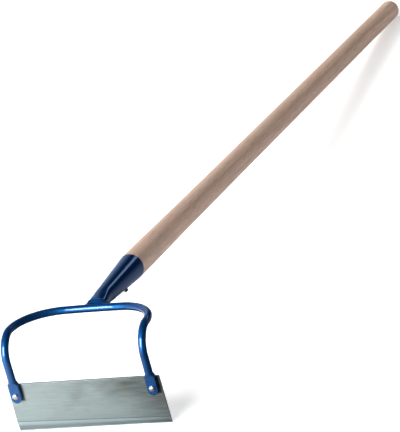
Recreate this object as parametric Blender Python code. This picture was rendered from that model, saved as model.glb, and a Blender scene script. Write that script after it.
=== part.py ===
"""Loop hoe: a flat pulling blade riveted to a bent rod bow, on a socketed ash handle.

The pieces are modelled in the tool's own frame: +Y is the handle's axis and runs up to the hand,
the origin lies on it above the socket's small end, +Z is up and X runs along the blade. A parent
empty then lays the tool down as it rests on a floor, on its cutting edge and the handle's tip.
"""
import bmesh
import bpy
from math import asin, atan2, cos, exp, hypot, pi, radians, sin, tan
from mathutils import Matrix, Vector

# Clearance left between pieces that touch
SEAT_GAP = 0.0003

# Handle: a turned ash pole with a conical tenon
HANDLE_LENGTH = 1.240
HANDLE_SHOULDER_DIAMETER = 0.0282
HANDLE_GRIP_DIAMETER = 0.0266
HANDLE_TIP_DIAMETER = 0.0258
HANDLE_SWELL_LENGTH = 0.240
HANDLE_DOME_LENGTH = 0.0130
TENON_LENGTH = 0.085
TENON_CHAMFER = 0.0015
SHOULDER_ROUND = 0.0006

# Socket: a rolled steel cone, open at both ends; its small end sags a little below the axis and is
# pressed from round to oval, wider along X and lower along Z
SOCKET_LENGTH = 0.1100
SOCKET_MOUTH_DIAMETER = 0.0286
SOCKET_NECK_DIAMETER = 0.0162
SOCKET_SAG = 0.0020
SOCKET_PRESSED_LENGTH = 0.0230
SOCKET_SPREAD = 0.0016
SOCKET_PINCH = 0.0019
SOCKET_WALL = 0.0014
SOCKET_RIM_ROUND = 0.0004

# Bow: one round rod, bent three ways and forged flat at both ends
ROD_DIAMETER = 0.0080
CROWN_DROP = 0.0051
CROWN_RADIUS = 0.137
SHOULDER_REACH = 0.0159
SHOULDER_RISE = 0.0038
SHOULDER_RADIUS = 0.0530
ARM_REACH = 0.0690
ARM_DROP = 0.0045
FRONT_RADIUS = 0.0225
LEG_LENGTH = 0.0530
TAB_WIDTH = 0.0106
TAB_THICKNESS = 0.0050
TAB_RISE = 0.0030
TAB_TAIL = 0.0029
FORGED_LENGTH = 0.0075

# Blade: a flat steel plate with a bevel ground by hand along the cutting edge
BLADE_LENGTH = 0.1600
CUTTING_EDGE_SPREAD = 0.0008
BLADE_HEIGHT = 0.0554
BLADE_THICKNESS = 0.0020
BLADE_LEAN = radians(12.9)
BEVEL_WIDTH_LEFT = 0.0115
BEVEL_WIDTH_RIGHT = 0.0078
CUTTING_EDGE_THICKNESS = 0.0005

# Rivets: domed in front, hammered flush into a countersink behind; each is set in from the end of
# the blade and down from its top edge, and the bow's legs stand in line with them
RIVET_INSET = 0.0080
RIVET_DROP = 0.0109
RIVET_DIAMETER = 0.0048
RIVET_HEAD_DIAMETER = 0.0068
RIVET_HEAD_HEIGHT = 0.0022
RIVET_TAIL_DIAMETER = 0.0068
RIVET_TAIL_DEPTH = 0.0010
RIVET_TAIL_SETBACK = 0.00005

# Nail: holds the tenon in the socket, low on the right
NAIL_STATION = 0.0660
NAIL_TURN = radians(54.0)
NAIL_DIAMETER = 0.0034
NAIL_LENGTH = 0.0170
NAIL_POINT_LENGTH = 0.0035
NAIL_HEAD_DIAMETER = 0.0056
NAIL_HEAD_HEIGHT = 0.0022
NAIL_HEAD_RIM = 0.0009

# Weld: a smooth nose that closes the socket's small end, with a rippled lip along the rod that runs
# on to the right, where the welder left off
WELD_OVERLAP = 0.0016
WELD_REACH = 0.0016
WELD_THROAT = 0.0007
WELD_FLARE = 0.0006
WELD_FULLNESS = 3.0
WELD_SAG = 0.0030
WELD_LIP = 0.0010
WELD_RUN = 0.0055
WELD_LIP_HEIGHT = 0.0021
WELD_RIPPLE_DEPTH = 0.00032
WELD_RIPPLE_PITCH = 0.0023

# How finely round shapes are cut
HANDLE_SIDES = 40
HANDLE_SWELL_STEPS = 8
HANDLE_DOME_STEPS = 9
SOCKET_SIDES = 40
SOCKET_PRESSED_STEPS = 8
ROD_SIDES = 24
BEND_STEP = radians(6.0)
FORGING_STEPS = 6
TAB_END_STEPS = 9
TAB_END_SWEEP = radians(80.0)
FASTENER_SIDES = 20
FASTENER_DOME_STEPS = 6
WELD_SIDES = 64
WELD_RINGS = 18

# Corners closer than this are one corner
SAME_POINT = 0.000001

# Search for the slope at which the tool rests: its upper limit, and how often it is halved
STEEPEST_REST = radians(40.0)
REST_HALVINGS = 50


def make_material(name, colour, roughness, metallic):
    """A plain Principled finish for one piece."""
    material = bpy.data.materials.new(name)
    material.use_nodes = True
    shader = material.node_tree.nodes["Principled BSDF"]
    shader.inputs["Base Color"].default_value = (*colour, 1.0)
    shader.inputs["Roughness"].default_value = roughness
    shader.inputs["Metallic"].default_value = metallic
    material.diffuse_color = (*colour, 1.0)
    return material


def finish_mesh(name, bm, material, smooth_angle=radians(32.0)):
    """Turn a bmesh into a named object with outward faces and smooth round sides."""
    bmesh.ops.recalc_face_normals(bm, faces=bm.faces)
    mesh = bpy.data.meshes.new(name)
    bm.to_mesh(mesh)
    bm.free()
    mesh.shade_smooth()
    mesh.set_sharp_from_angle(angle=smooth_angle)
    obj = bpy.data.objects.new(name, mesh)
    bpy.context.scene.collection.objects.link(obj)
    if material is not None:
        mesh.materials.append(material)
    return obj


def revolve(name, profile, sides, material, closed=False):
    """Turn (radius, y) points about the Y axis; a closed profile makes a hollow ring."""
    bm = bmesh.new()
    verts = [bm.verts.new((radius, y, 0.0)) for radius, y in profile]
    pairs = list(zip(verts[:-1], verts[1:]))
    if closed:
        pairs.append((verts[-1], verts[0]))
    edges = [bm.edges.new(pair) for pair in pairs]
    bmesh.ops.spin(
        bm,
        geom=verts + edges,
        axis=(0.0, 1.0, 0.0),
        cent=(0.0, 0.0, 0.0),
        angle=2.0 * pi,
        steps=sides,
        use_duplicate=False,
    )
    bmesh.ops.remove_doubles(bm, verts=bm.verts, dist=SAME_POINT)
    return finish_mesh(name, bm, material)


def dome(radius, height, base):
    """Points of a spherical cap from its rim at (radius, base) to its crown on the axis."""
    sphere = (radius ** 2 + height ** 2) / (2.0 * height)
    rim_angle = asin(min(1.0, radius / sphere))
    if height > radius:
        rim_angle = pi - rim_angle
    centre = base + height - sphere
    angles = [rim_angle * (1.0 - step / FASTENER_DOME_STEPS) for step in range(FASTENER_DOME_STEPS + 1)]
    return [(sphere * sin(angle), centre + sphere * cos(angle)) for angle in angles]


def make_cutter(obj, target):
    """Cut the target with a closed shape that is itself left out of the part."""
    obj.hide_render = True
    obj.display_type = "WIRE"
    cut = target.modifiers.new(obj.name, "BOOLEAN")
    cut.operation = "DIFFERENCE"
    cut.solver = "EXACT"
    cut.object = obj


def place(obj, location, direction, parent):
    """Move an object so that its local +Y axis points along a direction of the tool's frame."""
    turn = Vector((0.0, 1.0, 0.0)).rotation_difference(Vector(direction))
    obj.location = location
    obj.rotation_mode = "QUATERNION"
    obj.rotation_quaternion = turn
    obj.parent = parent


def socket_taper():
    """Half angle of the socket's cone."""
    return atan2((SOCKET_MOUTH_DIAMETER - SOCKET_NECK_DIAMETER) / 2.0, SOCKET_LENGTH)


def socket_radius(y):
    """Outer radius of the socket at a distance from its small end."""
    return SOCKET_NECK_DIAMETER / 2.0 + y * tan(socket_taper())


def socket_bore_radius(y):
    """Inner radius of the socket at a distance from its small end."""
    return socket_radius(y) - SOCKET_WALL / cos(socket_taper())


def socket_sag(y):
    """How far the socket's centre lies below the handle's axis: nothing at the mouth and beyond."""
    return SOCKET_SAG * max(0.0, 1.0 - y / SOCKET_LENGTH)


def socket_press(y):
    """How far the socket has gone from round to oval: 1 at its small end, 0 past the pressed stretch."""
    share = min(1.0, max(0.0, 1.0 - y / SOCKET_PRESSED_LENGTH))
    return share * share * (3.0 - 2.0 * share)


def follow_socket(obj):
    """Press and lower a piece that was turned about the handle's axis along with the socket."""
    for vertex in obj.data.vertices:
        x, y, z = vertex.co
        radius = hypot(x, z)
        if radius > SAME_POINT:
            vertex.co.x += x / radius * SOCKET_SPREAD * socket_press(y)
            vertex.co.z -= z / radius * SOCKET_PINCH * socket_press(y)
        vertex.co.z -= socket_sag(y)
    return obj


def pressed_stations():
    """Distances from the socket's small end at which its pressed stretch is cut."""
    steps = range(1, SOCKET_PRESSED_STEPS + 1)
    return [SOCKET_PRESSED_LENGTH * step / SOCKET_PRESSED_STEPS for step in steps]


def make_handle(material):
    """Turn the pole: tenon, shoulder on the socket's rim, slow swell, long grip, domed tip."""
    shoulder_y = SOCKET_LENGTH + SEAT_GAP
    inner_end = shoulder_y - TENON_LENGTH
    tip = inner_end + HANDLE_LENGTH
    dome_start = tip - HANDLE_DOME_LENGTH
    fit = SEAT_GAP / cos(socket_taper())
    end_radius = socket_bore_radius(inner_end) - fit
    chamfered_y = inner_end + TENON_CHAMFER
    profile = [
        (0.0, inner_end),
        (end_radius - TENON_CHAMFER, inner_end),
        (socket_bore_radius(chamfered_y) - fit, chamfered_y),
        (socket_bore_radius(shoulder_y) - fit, shoulder_y),
        (HANDLE_SHOULDER_DIAMETER / 2.0 - SHOULDER_ROUND, shoulder_y),
        (HANDLE_SHOULDER_DIAMETER / 2.0, shoulder_y + SHOULDER_ROUND),
    ]
    for step in range(1, HANDLE_SWELL_STEPS + 1):
        share = step / HANDLE_SWELL_STEPS
        eased = (1.0 - cos(pi * share)) / 2.0
        diameter = HANDLE_SHOULDER_DIAMETER + (HANDLE_GRIP_DIAMETER - HANDLE_SHOULDER_DIAMETER) * eased
        profile.append((diameter / 2.0, shoulder_y + SHOULDER_ROUND + HANDLE_SWELL_LENGTH * share))
    for step in range(HANDLE_DOME_STEPS):
        angle = pi / 2.0 * step / HANDLE_DOME_STEPS
        radius = HANDLE_TIP_DIAMETER / 2.0 * cos(angle)
        profile.append((radius, dome_start + HANDLE_DOME_LENGTH * sin(angle)))
    profile.append((0.0, tip))
    return follow_socket(revolve("handle", profile, HANDLE_SIDES, material))


def make_socket(material):
    """Turn the conical shell with slightly rounded rims, then press its small end oval."""
    rounding = SOCKET_RIM_ROUND
    profile = [(socket_radius(rounding), rounding)]
    profile += [(socket_radius(y), y) for y in pressed_stations()]
    profile += [
        (socket_radius(SOCKET_LENGTH - rounding), SOCKET_LENGTH - rounding),
        (socket_radius(SOCKET_LENGTH) - rounding, SOCKET_LENGTH),
        (socket_bore_radius(SOCKET_LENGTH), SOCKET_LENGTH),
    ]
    profile += [(socket_bore_radius(y), y) for y in reversed(pressed_stations())]
    profile += [
        (socket_bore_radius(0.0), 0.0),
        (socket_radius(0.0) - rounding, 0.0),
    ]
    return follow_socket(revolve("socket", profile, SOCKET_SIDES, material, closed=True))


def blade_frame():
    """The blade's own axes and the middle of its top edge, in the tool's frame."""
    down = Vector((0.0, sin(BLADE_LEAN), -cos(BLADE_LEAN)))
    back = Vector((0.0, cos(BLADE_LEAN), sin(BLADE_LEAN)))
    leg_top = bow_corners()[2]
    tab_to_blade = TAB_THICKNESS / 2.0 + SEAT_GAP + BLADE_THICKNESS / 2.0
    top = leg_top + down * LEG_LENGTH + back * tab_to_blade
    top.x = 0.0
    return top, down, back


def rivet_offset():
    """Distance of each rivet, and of the bow's leg above it, from the middle of the blade."""
    return BLADE_LENGTH / 2.0 - RIVET_INSET


def bow_corners():
    """Corners of the right half of the bow, from its crown to the top of its front leg."""
    crown = Vector((0.0, -ROD_DIAMETER / 2.0 - SEAT_GAP, -CROWN_DROP))
    shoulder = crown + Vector((rivet_offset(), -SHOULDER_REACH, SHOULDER_RISE))
    front = shoulder + Vector((0.0, -ARM_REACH, -ARM_DROP))
    return crown, shoulder, front


def bend(points, radii):
    """Points along a rod that runs through corners, with an arc of its own radius at each bend.

    An arc has an even number of steps, so it has a point at its middle. A radius is made smaller
    where two bends would otherwise run into each other.
    """
    count = len(points)
    turns = [0.0] * count
    reach = [0.0] * count
    for i in range(1, count - 1):
        before = (points[i] - points[i - 1]).normalized()
        after = (points[i + 1] - points[i]).normalized()
        turns[i] = before.angle(after)
        reach[i] = radii[i - 1] * tan(turns[i] / 2.0)
    share = [1.0] * count
    for i in range(count - 1):
        length = (points[i + 1] - points[i]).length
        wanted = reach[i] + reach[i + 1]
        if wanted > length:
            share[i] = min(share[i], length / wanted)
            share[i + 1] = min(share[i + 1], length / wanted)
    path = [points[0]]
    for i in range(1, count - 1):
        before = (points[i] - points[i - 1]).normalized()
        after = (points[i + 1] - points[i]).normalized()
        cut = reach[i] * share[i]
        radius = cut / tan(turns[i] / 2.0)
        inward = (after - before).normalized()
        centre = points[i] + inward * (radius / cos(turns[i] / 2.0))
        spoke = points[i] - before * cut - centre
        axis = before.cross(after).normalized()
        steps = 2 * max(1, round(turns[i] / BEND_STEP / 2.0))
        for step in range(steps + 1):
            turned = Matrix.Rotation(turns[i] * step / steps, 3, axis) @ spoke
            path.append(centre + turned)
    path.append(points[-1])
    return path


def section(half_width, half_thickness, corner):
    """A rounded rectangle with as many points as the rod has sides; a circle where all are equal."""
    ring = []
    for side in range(ROD_SIDES):
        angle = 2.0 * pi * (side + 0.5) / ROD_SIDES
        across = cos(angle)
        through = sin(angle)
        ring.append((
            (half_width - corner) * (1.0 if across > 0.0 else -1.0) + corner * across,
            (half_thickness - corner) * (1.0 if through > 0.0 else -1.0) + corner * through,
        ))
    return ring


def tangents_along(points):
    """Unit direction of a path at each of its points."""
    last = len(points) - 1
    return [(points[min(i + 1, last)] - points[max(i - 1, 0)]).normalized() for i in range(last + 1)]


def ring_around(bm, point, tangent, side, outline):
    """Corners of one cross-section, set square to the path with its width along side."""
    through = tangent.cross(side)
    return [bm.verts.new(point + side * u + through * v) for u, v in outline]


def skin(bm, rings):
    """Join neighbouring cross-sections with faces and close the last one."""
    for ring, following in zip(rings[:-1], rings[1:]):
        for i in range(len(ring)):
            j = (i + 1) % len(ring)
            bm.faces.new((ring[i], ring[j], following[j], following[i]))
    bm.faces.new(rings[-1])


def forged_end(leg_start, down):
    """Stations down the leg, each with its section: round rod, forged shoulder, tab, round end."""
    rod = ROD_DIAMETER / 2.0
    half_width = TAB_WIDTH / 2.0
    half_thickness = TAB_THICKNESS / 2.0
    tab_start = LEG_LENGTH - TAB_RISE
    stations = []
    for step in range(FORGING_STEPS + 1):
        share = step / FORGING_STEPS
        eased = share * share * (3.0 - 2.0 * share)
        width = rod + (half_width - rod) * eased
        thickness = rod + (half_thickness - rod) * eased
        along = tab_start - FORGED_LENGTH * (1.0 - share)
        stations.append((along, width, thickness, thickness))
    round_start = LEG_LENGTH + RIVET_DROP + TAB_TAIL
    for step in range(TAB_END_STEPS + 1):
        angle = TAB_END_SWEEP * step / TAB_END_STEPS
        width = half_width * cos(angle)
        corner = min(half_thickness, width)
        stations.append((round_start + half_width * sin(angle), width, half_thickness, corner))
    return [(leg_start + down * along, width, thickness, corner)
            for along, width, thickness, corner in stations]


def make_bow(material):
    """Sweep the right half of the rod from crown to tab, then mirror it."""
    crown, shoulder, front = bow_corners()
    down = blade_frame()[1]
    left_shoulder = Vector((-shoulder.x, shoulder.y, shoulder.z))
    leg_end = front + down * (LEG_LENGTH - TAB_RISE - FORGED_LENGTH)
    radii = [CROWN_RADIUS, SHOULDER_RADIUS, FRONT_RADIUS]
    whole = bend([left_shoulder, crown, shoulder, front, leg_end], radii)
    rod = ROD_DIAMETER / 2.0
    middle = min(range(len(whole)), key=lambda i: abs(whole[i].x))
    half = whole[middle:-1]
    half[0].x = 0.0
    stations = [(point, rod, rod, rod) for point in half]
    stations += forged_end(front, down)

    tangents = tangents_along([station[0] for station in stations])
    tangents[0] = Vector((1.0, 0.0, 0.0))
    # The width of the section follows X down the leg and is carried back along the rod
    across = Vector((1.0, 0.0, 0.0))
    bm = bmesh.new()
    rings = []
    for (point, width, thickness, corner), tangent in zip(reversed(stations), reversed(tangents)):
        across = (across - tangent * across.dot(tangent)).normalized()
        rings.append(ring_around(bm, point, tangent, across, section(width, thickness, corner)))
    rings.reverse()
    skin(bm, rings)
    bow = finish_mesh("bow", bm, material)
    mirror = bow.modifiers.new("other half", "MIRROR")
    mirror.use_axis = (True, False, False)
    mirror.use_clip = True
    mirror.merge_threshold = 0.00005
    return bow


def make_blade(material):
    """Model the plate in its own frame: X along it, Y to its back, Z up from the cutting edge."""
    half_thickness = BLADE_THICKNESS / 2.0
    bm = bmesh.new()
    ends = []
    for side, bevel_width in ((-1.0, BEVEL_WIDTH_LEFT), (1.0, BEVEL_WIDTH_RIGHT)):
        outline = [
            (-half_thickness, 0.0),
            (half_thickness, 0.0),
            (half_thickness, -BLADE_HEIGHT),
            (half_thickness - CUTTING_EDGE_THICKNESS, -BLADE_HEIGHT),
            (-half_thickness, -BLADE_HEIGHT + bevel_width),
        ]
        ring = []
        for y, z in outline:
            reach = BLADE_LENGTH / 2.0 + CUTTING_EDGE_SPREAD * (-z / BLADE_HEIGHT)
            ring.append(bm.verts.new((side * reach, y, z)))
        ends.append(ring)
        bm.faces.new(ring)
    left, right = ends
    for i in range(len(left)):
        j = (i + 1) % len(left)
        bm.faces.new((left[i], left[j], right[j], right[i]))
    return finish_mesh("blade", bm, material, smooth_angle=radians(2.0))


def rivet_profile(gap):
    """Half outline of a rivet along its axis, front to back; a gap makes it the hole's cutter."""
    tab_front = -BLADE_THICKNESS / 2.0 - SEAT_GAP - TAB_THICKNESS
    blade_back = BLADE_THICKNESS / 2.0
    shank = RIVET_DIAMETER / 2.0 + gap
    tail = RIVET_TAIL_DIAMETER / 2.0 + gap
    if gap > 0.0:
        past_tab = tab_front - RIVET_HEAD_HEIGHT
        past_blade = blade_back + RIVET_TAIL_DEPTH
        slope = (RIVET_TAIL_DIAMETER - RIVET_DIAMETER) / 2.0 / RIVET_TAIL_DEPTH
        return [
            (0.0, past_tab),
            (shank, past_tab),
            (shank, blade_back - RIVET_TAIL_DEPTH),
            (tail, blade_back),
            (tail + slope * RIVET_TAIL_DEPTH, past_blade),
            (0.0, past_blade),
        ]
    head_seat = tab_front - SEAT_GAP
    cap = [(radius, -y) for radius, y in dome(RIVET_HEAD_DIAMETER / 2.0, RIVET_HEAD_HEIGHT, -head_seat)]
    return list(reversed(cap)) + [
        (shank, head_seat),
        (shank, blade_back - RIVET_TAIL_DEPTH),
        (tail, blade_back - RIVET_TAIL_SETBACK),
        (0.0, blade_back - RIVET_TAIL_SETBACK),
    ]


def make_rivet(name, side, bow, blade, material, parent):
    """Set one rivet through tab and blade, and cut both for it."""
    top, down, back = blade_frame()
    seat = top + down * RIVET_DROP
    seat.x = side * rivet_offset()
    rivet = revolve(name, rivet_profile(0.0), FASTENER_SIDES, material)
    place(rivet, seat, back, parent)
    for target in (bow, blade):
        hole = revolve(name + " hole in " + target.name, rivet_profile(SEAT_GAP), FASTENER_SIDES, None)
        place(hole, seat, back, parent)
        make_cutter(hole, target)
    return rivet


def nail_profile(gap):
    """Half outline of the nail from its point to its head; a gap makes it the hole's cutter."""
    shank = NAIL_DIAMETER / 2.0 + gap
    shank_end = -NAIL_LENGTH + NAIL_POINT_LENGTH
    profile = [(0.0, -NAIL_LENGTH - gap), (shank, shank_end - gap)]
    if gap > 0.0:
        past_wall = SOCKET_WALL + NAIL_HEAD_HEIGHT
        return profile + [(shank, past_wall), (0.0, past_wall)]
    head = NAIL_HEAD_DIAMETER / 2.0
    crown_height = NAIL_HEAD_HEIGHT - NAIL_HEAD_RIM
    profile += [(shank, SEAT_GAP), (head, SEAT_GAP)]
    return profile + dome(head, crown_height, SEAT_GAP + NAIL_HEAD_RIM)


def make_nail(socket, handle, material, parent):
    """Drive the nail square to the cone, through the socket's wall into the tenon."""
    taper = socket_taper()
    radial = Vector((cos(NAIL_TURN), 0.0, -sin(NAIL_TURN)))
    outward = radial * cos(taper) + Vector((0.0, -sin(taper), 0.0))
    seat = Vector((0.0, NAIL_STATION, -socket_sag(NAIL_STATION))) + radial * socket_radius(NAIL_STATION)
    nail = revolve("socket_nail", nail_profile(0.0), FASTENER_SIDES, material)
    place(nail, seat, outward, parent)
    for target in (socket, handle):
        hole = revolve("nail hole in " + target.name, nail_profile(SEAT_GAP), FASTENER_SIDES, None)
        place(hole, seat, outward, parent)
        make_cutter(hole, target)
    return nail


def make_weld(material, parent):
    """Lay a nose over the socket's small end and the rod, then clear both by the gap."""
    neck = SOCKET_NECK_DIAMETER / 2.0
    crown = bow_corners()[0]
    half_length = neck + SOCKET_SPREAD + WELD_FLARE
    top = neck - SOCKET_PINCH + WELD_THROAT - socket_sag(0.0)
    bottom = -crown.z + WELD_SAG
    half_height = (top + bottom) / 2.0
    middle = Vector((0.0, 0.0, top - half_height))
    rod_top = crown.z + ROD_DIAMETER / 2.0
    bm = bmesh.new()
    bmesh.ops.create_uvsphere(bm, u_segments=WELD_SIDES, v_segments=WELD_RINGS, radius=1.0)
    for vertex in bm.verts:
        # The unit sphere's poles become the nose's two ends, on the rod and on the socket
        across, up, along = vertex.co
        depth = WELD_OVERLAP if along > 0.0 else -crown.y + WELD_REACH
        # Towards the rod the nose stays nearly as wide and high as the socket, then closes
        shrink = max(SAME_POINT, hypot(across, up))
        full = (1.0 - min(1.0, abs(along)) ** WELD_FULLNESS) ** (1.0 / WELD_FULLNESS) / shrink
        spoke = Vector((half_length * across * full, depth * along, half_height * up * full))
        # Where it meets the rod it swells into a lip, laid down in ripples along the rod
        height = middle.z + spoke.z - rod_top
        lip = exp(-(height / WELD_LIP_HEIGHT) ** 2)
        ripple = WELD_RIPPLE_DEPTH * cos(2.0 * pi * spoke.x / WELD_RIPPLE_PITCH)
        reach = WELD_RUN if across > 0.0 else WELD_LIP
        spoke.x += (reach * across + ripple * abs(across)) * lip
        spoke.z += ripple * lip
        vertex.co = middle + spoke
    weld = finish_mesh("weld_bead", bm, material)

    reach = WELD_OVERLAP * 2.0
    gap = SEAT_GAP / cos(socket_taper())
    neck_clear = [(0.0, -SEAT_GAP), (socket_radius(-SEAT_GAP) + gap, -SEAT_GAP)]
    neck_clear += [(socket_radius(y) + gap, y) for y in pressed_stations() if y < reach]
    neck_clear += [(socket_radius(reach) + gap, reach), (0.0, reach)]
    cone = follow_socket(revolve("room for the socket", neck_clear, SOCKET_SIDES, None))
    for cutter in (cone, make_rod_cutter()):
        cutter.parent = parent
        make_cutter(cutter, weld)
    return weld


def make_rod_cutter():
    """A short stretch of the rod's crown, thicker by the gap, that clears the weld."""
    crown, shoulder, _ = bow_corners()
    left_shoulder = Vector((-shoulder.x, shoulder.y, shoulder.z))
    path = bend([left_shoulder, crown, shoulder], [CROWN_RADIUS])[1:-1]
    radius = ROD_DIAMETER / 2.0 + SEAT_GAP
    bm = bmesh.new()
    rings = []
    for point, tangent in zip(path, tangents_along(path)):
        side = Vector((0.0, 0.0, 1.0)).cross(tangent).normalized()
        rings.append(ring_around(bm, point, tangent, side, section(radius, radius, radius)))
    skin(bm, rings)
    bm.faces.new(rings[0])
    return finish_mesh("room for the rod", bm, None)


def points_in_tool_frame(obj):
    """An object's own corners, before the tool is laid down."""
    local = obj.matrix_local
    return [local @ vertex.co for vertex in obj.data.vertices]


def lay_down(tool, blade, handle, pieces):
    """Tilt the tool until cutting edge and handle tip touch the floor, and centre its box."""
    blade_points = points_in_tool_frame(blade)
    handle_points = points_in_tool_frame(handle)
    low, high = 0.0, STEEPEST_REST
    for _ in range(REST_HALVINGS):
        tilt = (low + high) / 2.0
        blade_low = min(-p.y * sin(tilt) + p.z * cos(tilt) for p in blade_points)
        handle_low = min(-p.y * sin(tilt) + p.z * cos(tilt) for p in handle_points)
        if blade_low < handle_low:
            low = tilt
        else:
            high = tilt
    turn = Matrix.Rotation(-tilt, 4, "X")
    corners = [turn @ point for piece in pieces for point in points_in_tool_frame(piece)]
    lowest = Vector([min(point[i] for point in corners) for i in range(3)])
    highest = Vector([max(point[i] for point in corners) for i in range(3)])
    tool.rotation_euler = (-tilt, 0.0, 0.0)
    # Left and right are alike, so X stays as it is
    tool.location = (0.0, -(lowest.y + highest.y) / 2.0, -lowest.z)


def build():
    for old in list(bpy.data.objects):
        bpy.data.objects.remove(old, do_unlink=True)

    ash = make_material("ash wood", (0.56, 0.42, 0.32), 0.55, 0.0)
    blue = make_material("blue enamel", (0.012, 0.075, 0.26), 0.22, 0.0)
    blue_neck = make_material("blue enamel on the socket", (0.011, 0.070, 0.25), 0.22, 0.0)
    blue_weld = make_material("blue enamel on the weld", (0.011, 0.070, 0.24), 0.28, 0.0)
    plate = make_material("ground steel plate", (0.47, 0.52, 0.53), 0.32, 1.0)
    zinc = make_material("zinc plated steel", (0.78, 0.80, 0.83), 0.22, 1.0)

    tool = bpy.data.objects.new("hoe", None)
    bpy.context.scene.collection.objects.link(tool)

    handle = make_handle(ash)
    socket = make_socket(blue_neck)
    bow = make_bow(blue)
    blade = make_blade(plate)
    weld = make_weld(blue_weld, tool)
    for piece in (handle, socket, bow, weld, blade):
        piece.parent = tool
    blade.location = blade_frame()[0]
    blade.rotation_euler = (BLADE_LEAN, 0.0, 0.0)

    rivets = [
        make_rivet("rivet_left", -1.0, bow, blade, zinc, tool),
        make_rivet("rivet_right", 1.0, bow, blade, zinc, tool),
    ]
    nail = make_nail(socket, handle, zinc, tool)
    bpy.context.view_layer.update()
    lay_down(tool, blade, handle, [handle, socket, bow, weld, blade, nail] + rivets)
    bpy.context.view_layer.update()


build()
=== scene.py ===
from math import asin, atan2, cos, exp, pi, radians, sin, tan

import bmesh
import bpy
from mathutils import Matrix, Vector, noise


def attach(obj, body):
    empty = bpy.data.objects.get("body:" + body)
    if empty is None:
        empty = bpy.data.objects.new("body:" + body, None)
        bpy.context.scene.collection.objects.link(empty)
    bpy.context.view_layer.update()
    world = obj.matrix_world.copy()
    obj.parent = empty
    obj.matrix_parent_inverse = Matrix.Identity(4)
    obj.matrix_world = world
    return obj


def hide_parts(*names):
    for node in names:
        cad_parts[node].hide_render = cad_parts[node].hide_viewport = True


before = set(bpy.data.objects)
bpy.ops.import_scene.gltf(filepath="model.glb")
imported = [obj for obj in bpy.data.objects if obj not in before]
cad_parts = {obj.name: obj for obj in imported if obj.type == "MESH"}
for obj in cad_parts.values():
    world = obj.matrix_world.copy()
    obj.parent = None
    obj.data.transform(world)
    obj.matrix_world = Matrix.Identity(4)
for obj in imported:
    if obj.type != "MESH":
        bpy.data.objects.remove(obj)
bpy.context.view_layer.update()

# THE HANDLE
# A pole turned from straight-grained ash, sanded and left unvarnished. It is thickest at the socket
# and thins towards a domed tip; its tapered tenon is driven into the socket up to the shoulder.
SOCKET_LENGTH = 0.1100
SOCKET_MOUTH = 0.0286
SOCKET_NECK = 0.0162
SOCKET_SAG = 0.0020
SOCKET_WALL = 0.0014
SEAT = 0.0003
TENON_LENGTH = 0.085
POLE_LENGTH = 1.240
DOME_LENGTH = 0.013
POLE_SIDES = 96
POLE_STATIONS = 200
LATHE_CELLS = 30.0
INWARD = 0.9
SAME_POINT = 0.000002
socket_taper = atan2((SOCKET_MOUTH - SOCKET_NECK) / 2.0, SOCKET_LENGTH)
POLE = {
    "Inner End": SOCKET_LENGTH + SEAT - TENON_LENGTH,
    "Shoulder": SOCKET_LENGTH + SEAT,
    "Dome Start": SOCKET_LENGTH + SEAT - TENON_LENGTH + POLE_LENGTH - DOME_LENGTH,
    "Dome Length": DOME_LENGTH,
    "Easing Length": 0.240,
    "Tenon Taper": tan(socket_taper),
    "Tenon Radius": SOCKET_MOUTH / 2.0 - (SOCKET_WALL + SEAT) / cos(socket_taper),
    "Shoulder Radius": 0.0141,
    "Grip Radius": 0.0133,
    "Tip Radius": 0.0129,
    "Sag": SOCKET_SAG,
    "Socket Length": SOCKET_LENGTH,
    "Unevenness": 0.00012,
}
# The tool lies on its cutting edge and on the tip of its handle. Each piece is drawn in the tool's
# own frame, with +Y up the handle from the socket's small end, and is then laid down with the rest.
TOOL_TILT = 0.07419416
TOOL_PLACE = Vector((0.0, -0.58610439, 0.10569268))
laid_down = Matrix.Translation(TOOL_PLACE) @ Matrix.Rotation(-TOOL_TILT, 4, "X")


def into_place(name, bm, sharp=radians(35.0)):
    """Turn a piece drawn in the tool's frame into an object that lies in its place."""
    bmesh.ops.recalc_face_normals(bm, faces=bm.faces)
    bm.transform(laid_down)
    mesh = bpy.data.meshes.new(name)
    bm.to_mesh(mesh)
    bm.free()
    mesh.shade_smooth()
    mesh.set_sharp_from_angle(angle=sharp)
    piece = bpy.data.objects.new(name, mesh)
    bpy.context.scene.collection.objects.link(piece)
    return piece


class Flow:
    """What comes out of a node's socket. Arithmetic on it adds the Math nodes it needs."""

    def __init__(self, wiring, socket):
        self.wiring = wiring
        self.socket = socket

    def maths(self, operation, *others):
        return self.wiring.node("ShaderNodeMath", {"operation": operation}, [self, *others])

    def __add__(self, other):
        return self.maths("ADD", other)

    def __sub__(self, other):
        return self.maths("SUBTRACT", other)

    def __rsub__(self, other):
        return self.wiring.node("ShaderNodeMath", {"operation": "SUBTRACT"}, [other, self])

    def __mul__(self, other):
        return self.maths("MULTIPLY", other)

    def __truediv__(self, other):
        return self.maths("DIVIDE", other)

    __radd__ = __add__
    __rmul__ = __mul__


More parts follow.
